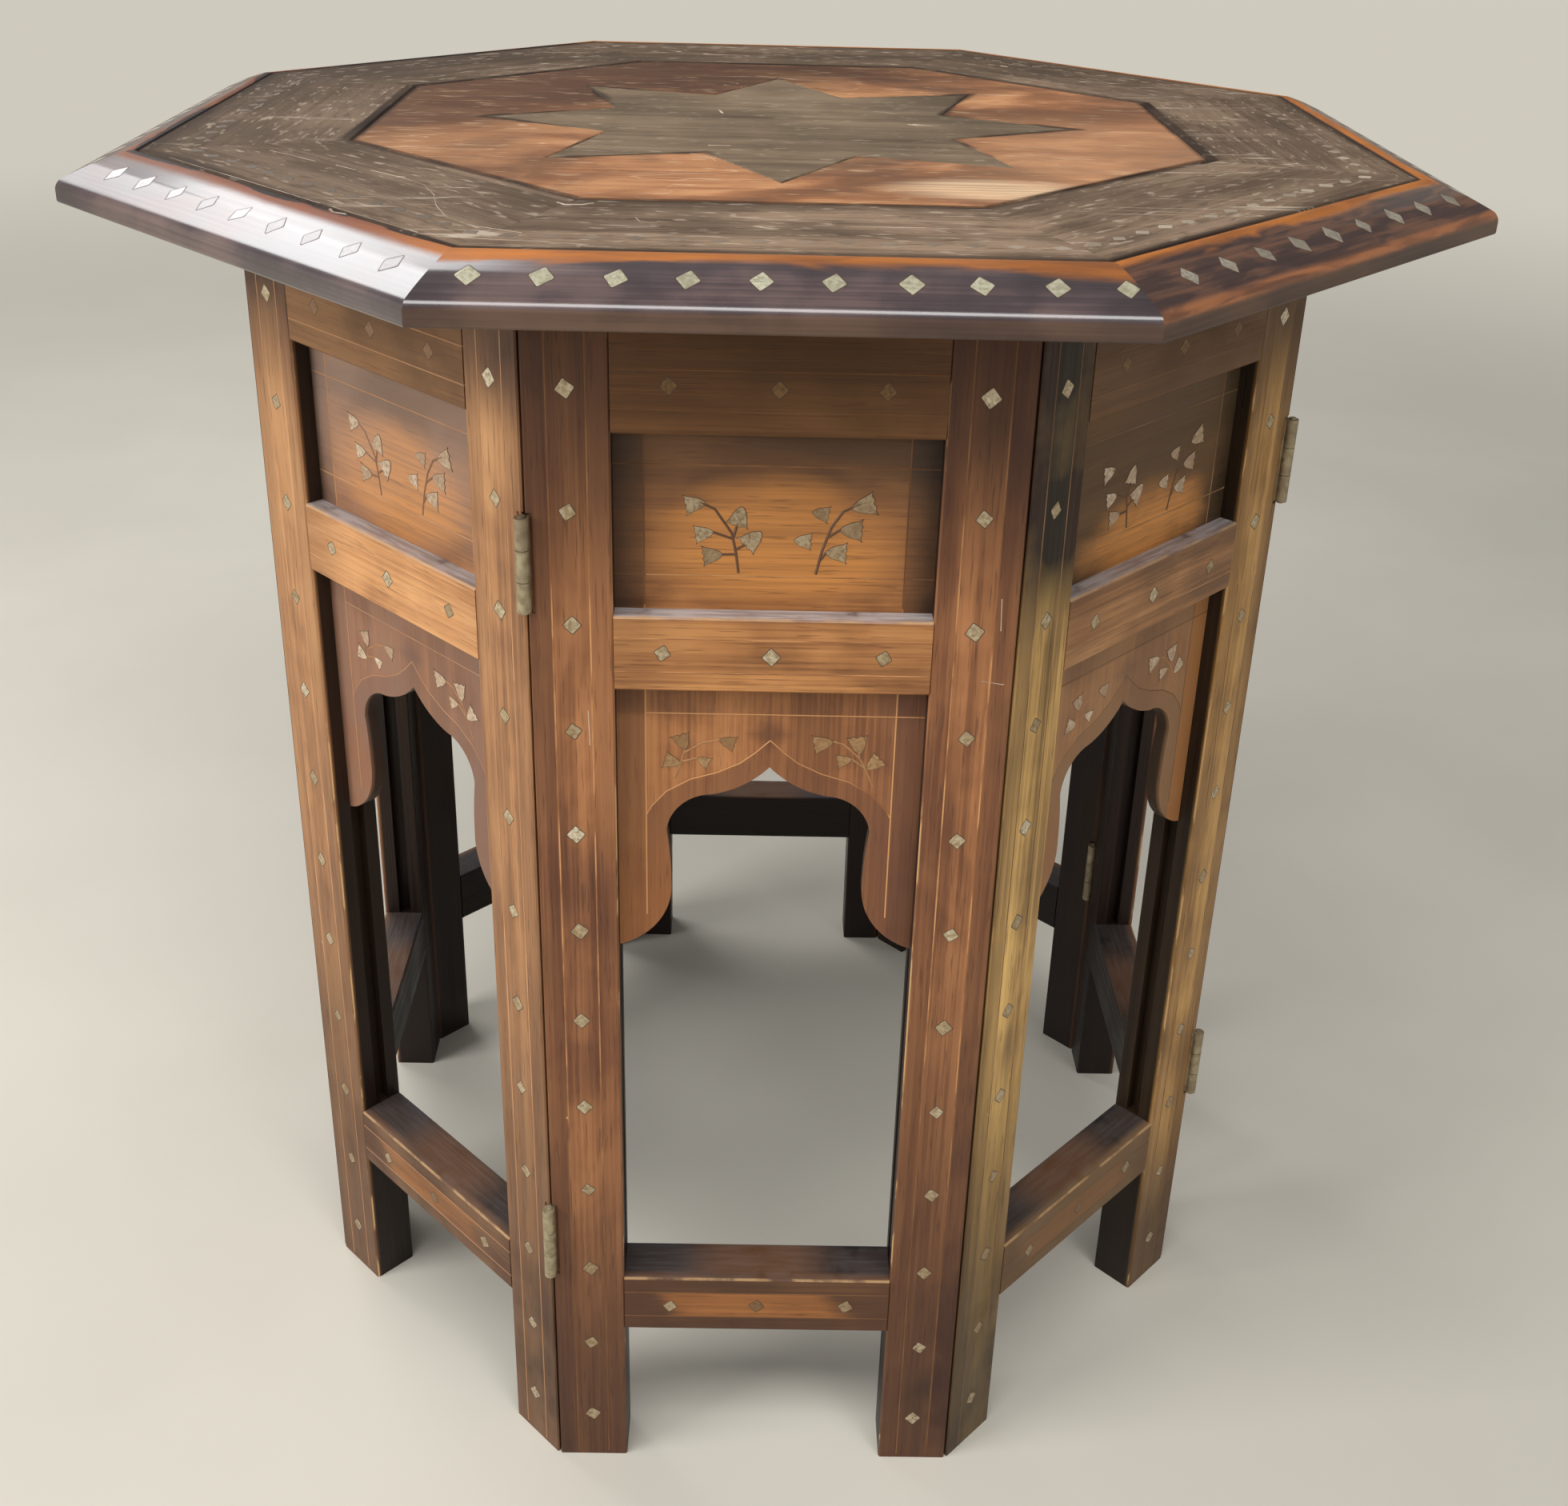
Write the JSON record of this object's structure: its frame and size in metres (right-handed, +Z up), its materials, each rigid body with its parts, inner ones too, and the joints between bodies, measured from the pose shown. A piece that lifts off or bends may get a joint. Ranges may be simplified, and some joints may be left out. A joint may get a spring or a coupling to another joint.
{
  "type": "octagonal side table",
  "caption": "Octagonal wooden side table with an inlaid star top resting on a folding base of hinged panels with ogee arches.",
  "frame": {"origin": "on the floor under the middle of the table", "axes": "+Z up, -Y out of the front panel, +X to the right seen from the front"},
  "size_m": [0.603, 0.603, 0.62],
  "materials": {
    "frame_wood": "aged dark polish, worn arrises",
    "board_wood": "aged polish",
    "core_wood": "unpolished",
    "edge_wood": "dark gloss, worn edges",
    "border_wood": "grey worn polish, scratched",
    "field_wood": "worn polish",
    "star_wood": "grey worn polish",
    "hinge_brass": "tarnished"
  },
  "bodies": {
    "front_panel": {"front_panel_left_stile": "frame_wood", "front_panel_right_stile": "frame_wood", "front_panel_rails": "frame_wood", "front_panel_upper_board": "board_wood", "front_panel_arch_board": "board_wood", "front_panel_hinge_leaves": "hinge_brass"},
    "front_right_panel": {"front_right_panel_left_stile": "frame_wood", "front_right_panel_right_stile": "frame_wood", "front_right_panel_rails": "frame_wood", "front_right_panel_upper_board": "board_wood", "front_right_panel_arch_board": "board_wood", "front_right_panel_hinge_leaves": "hinge_brass", "front_right_panel_hinge_pins": "hinge_brass"},
    "right_panel": {"right_panel_left_stile": "frame_wood", "right_panel_right_stile": "frame_wood", "right_panel_rails": "frame_wood", "right_panel_upper_board": "board_wood", "right_panel_arch_board": "board_wood", "right_panel_hinge_leaves": "hinge_brass"},
    "back_right_panel": {"back_right_panel_left_stile": "frame_wood", "back_right_panel_right_stile": "frame_wood", "back_right_panel_rails": "frame_wood", "back_right_panel_upper_board": "board_wood", "back_right_panel_arch_board": "board_wood", "back_right_panel_hinge_leaves": "hinge_brass", "back_right_panel_hinge_pins": "hinge_brass"},
    "back_panel": {"back_panel_left_stile": "frame_wood", "back_panel_right_stile": "frame_wood", "back_panel_rails": "frame_wood", "back_panel_upper_board": "board_wood", "back_panel_arch_board": "board_wood", "back_panel_hinge_leaves": "hinge_brass"},
    "back_left_panel": {"back_left_panel_left_stile": "frame_wood", "back_left_panel_right_stile": "frame_wood", "back_left_panel_rails": "frame_wood", "back_left_panel_upper_board": "board_wood", "back_left_panel_arch_board": "board_wood", "back_left_panel_hinge_leaves": "hinge_brass", "back_left_panel_hinge_pins": "hinge_brass"},
    "left_panel": {"left_panel_left_stile": "frame_wood", "left_panel_right_stile": "frame_wood", "left_panel_rails": "frame_wood", "left_panel_upper_board": "board_wood", "left_panel_arch_board": "board_wood", "left_panel_hinge_leaves": "hinge_brass"},
    "front_left_panel": {"front_left_panel_left_stile": "frame_wood", "front_left_panel_right_stile": "frame_wood", "front_left_panel_rails": "frame_wood", "front_left_panel_upper_board": "board_wood", "front_left_panel_arch_board": "board_wood", "front_left_panel_hinge_leaves": "hinge_brass", "front_left_panel_hinge_pins": "hinge_brass"},
    "table_top": {"top_board": "core_wood", "edge_moulding": "edge_wood", "border_band": "border_wood", "star_field": "field_wood", "star": "star_wood"}
  },
  "joints": [
    {"name": "base_fold", "type": "hinge", "parent": "front_panel", "child": "front_right_panel", "pos_m": [0.08703, -0.21011, 0.3], "axis": [0, 0, 1], "range_deg": [0, 135]},
    {"name": "right_hinge", "type": "hinge", "parent": "front_right_panel", "child": "right_panel", "pos_m": [0.23639, -0.09791, 0.3], "axis": [0, 0, 1], "range_deg": [-135, 0]},
    {"name": "back_right_hinge", "type": "hinge", "parent": "right_panel", "child": "back_right_panel", "pos_m": [0.21011, 0.08703, 0.3], "axis": [0, 0, 1], "range_deg": [0, 135]},
    {"name": "back_hinge", "type": "hinge", "parent": "back_right_panel", "child": "back_panel", "pos_m": [0.09791, 0.23639, 0.3], "axis": [0, 0, 1], "range_deg": [-135, 0]},
    {"name": "front_left_hinge", "type": "hinge", "parent": "front_panel", "child": "front_left_panel", "pos_m": [-0.09791, -0.23639, 0.3], "axis": [0, 0, 1], "range_deg": [0, 135]},
    {"name": "left_hinge", "type": "hinge", "parent": "front_left_panel", "child": "left_panel", "pos_m": [-0.21011, -0.08703, 0.3], "axis": [0, 0, 1], "range_deg": [-135, 0]},
    {"name": "back_left_hinge", "type": "hinge", "parent": "left_panel", "child": "back_left_panel", "pos_m": [-0.23639, 0.09791, 0.3], "axis": [0, 0, 1], "range_deg": [0, 135]},
    {"name": "top_lift", "type": "slide", "parent": "front_panel", "child": "table_top", "axis": [0, 0, 1], "range_m": [0, 0.15]}
  ],
  "couplings": [
    {"joint": "right_hinge", "follows": "base_fold", "ratio": -1},
    {"joint": "back_right_hinge", "follows": "base_fold", "ratio": 1},
    {"joint": "back_hinge", "follows": "base_fold", "ratio": -1},
    {"joint": "front_left_hinge", "follows": "base_fold", "ratio": 1},
    {"joint": "left_hinge", "follows": "base_fold", "ratio": -1},
    {"joint": "back_left_hinge", "follows": "base_fold", "ratio": 1}
  ]
}
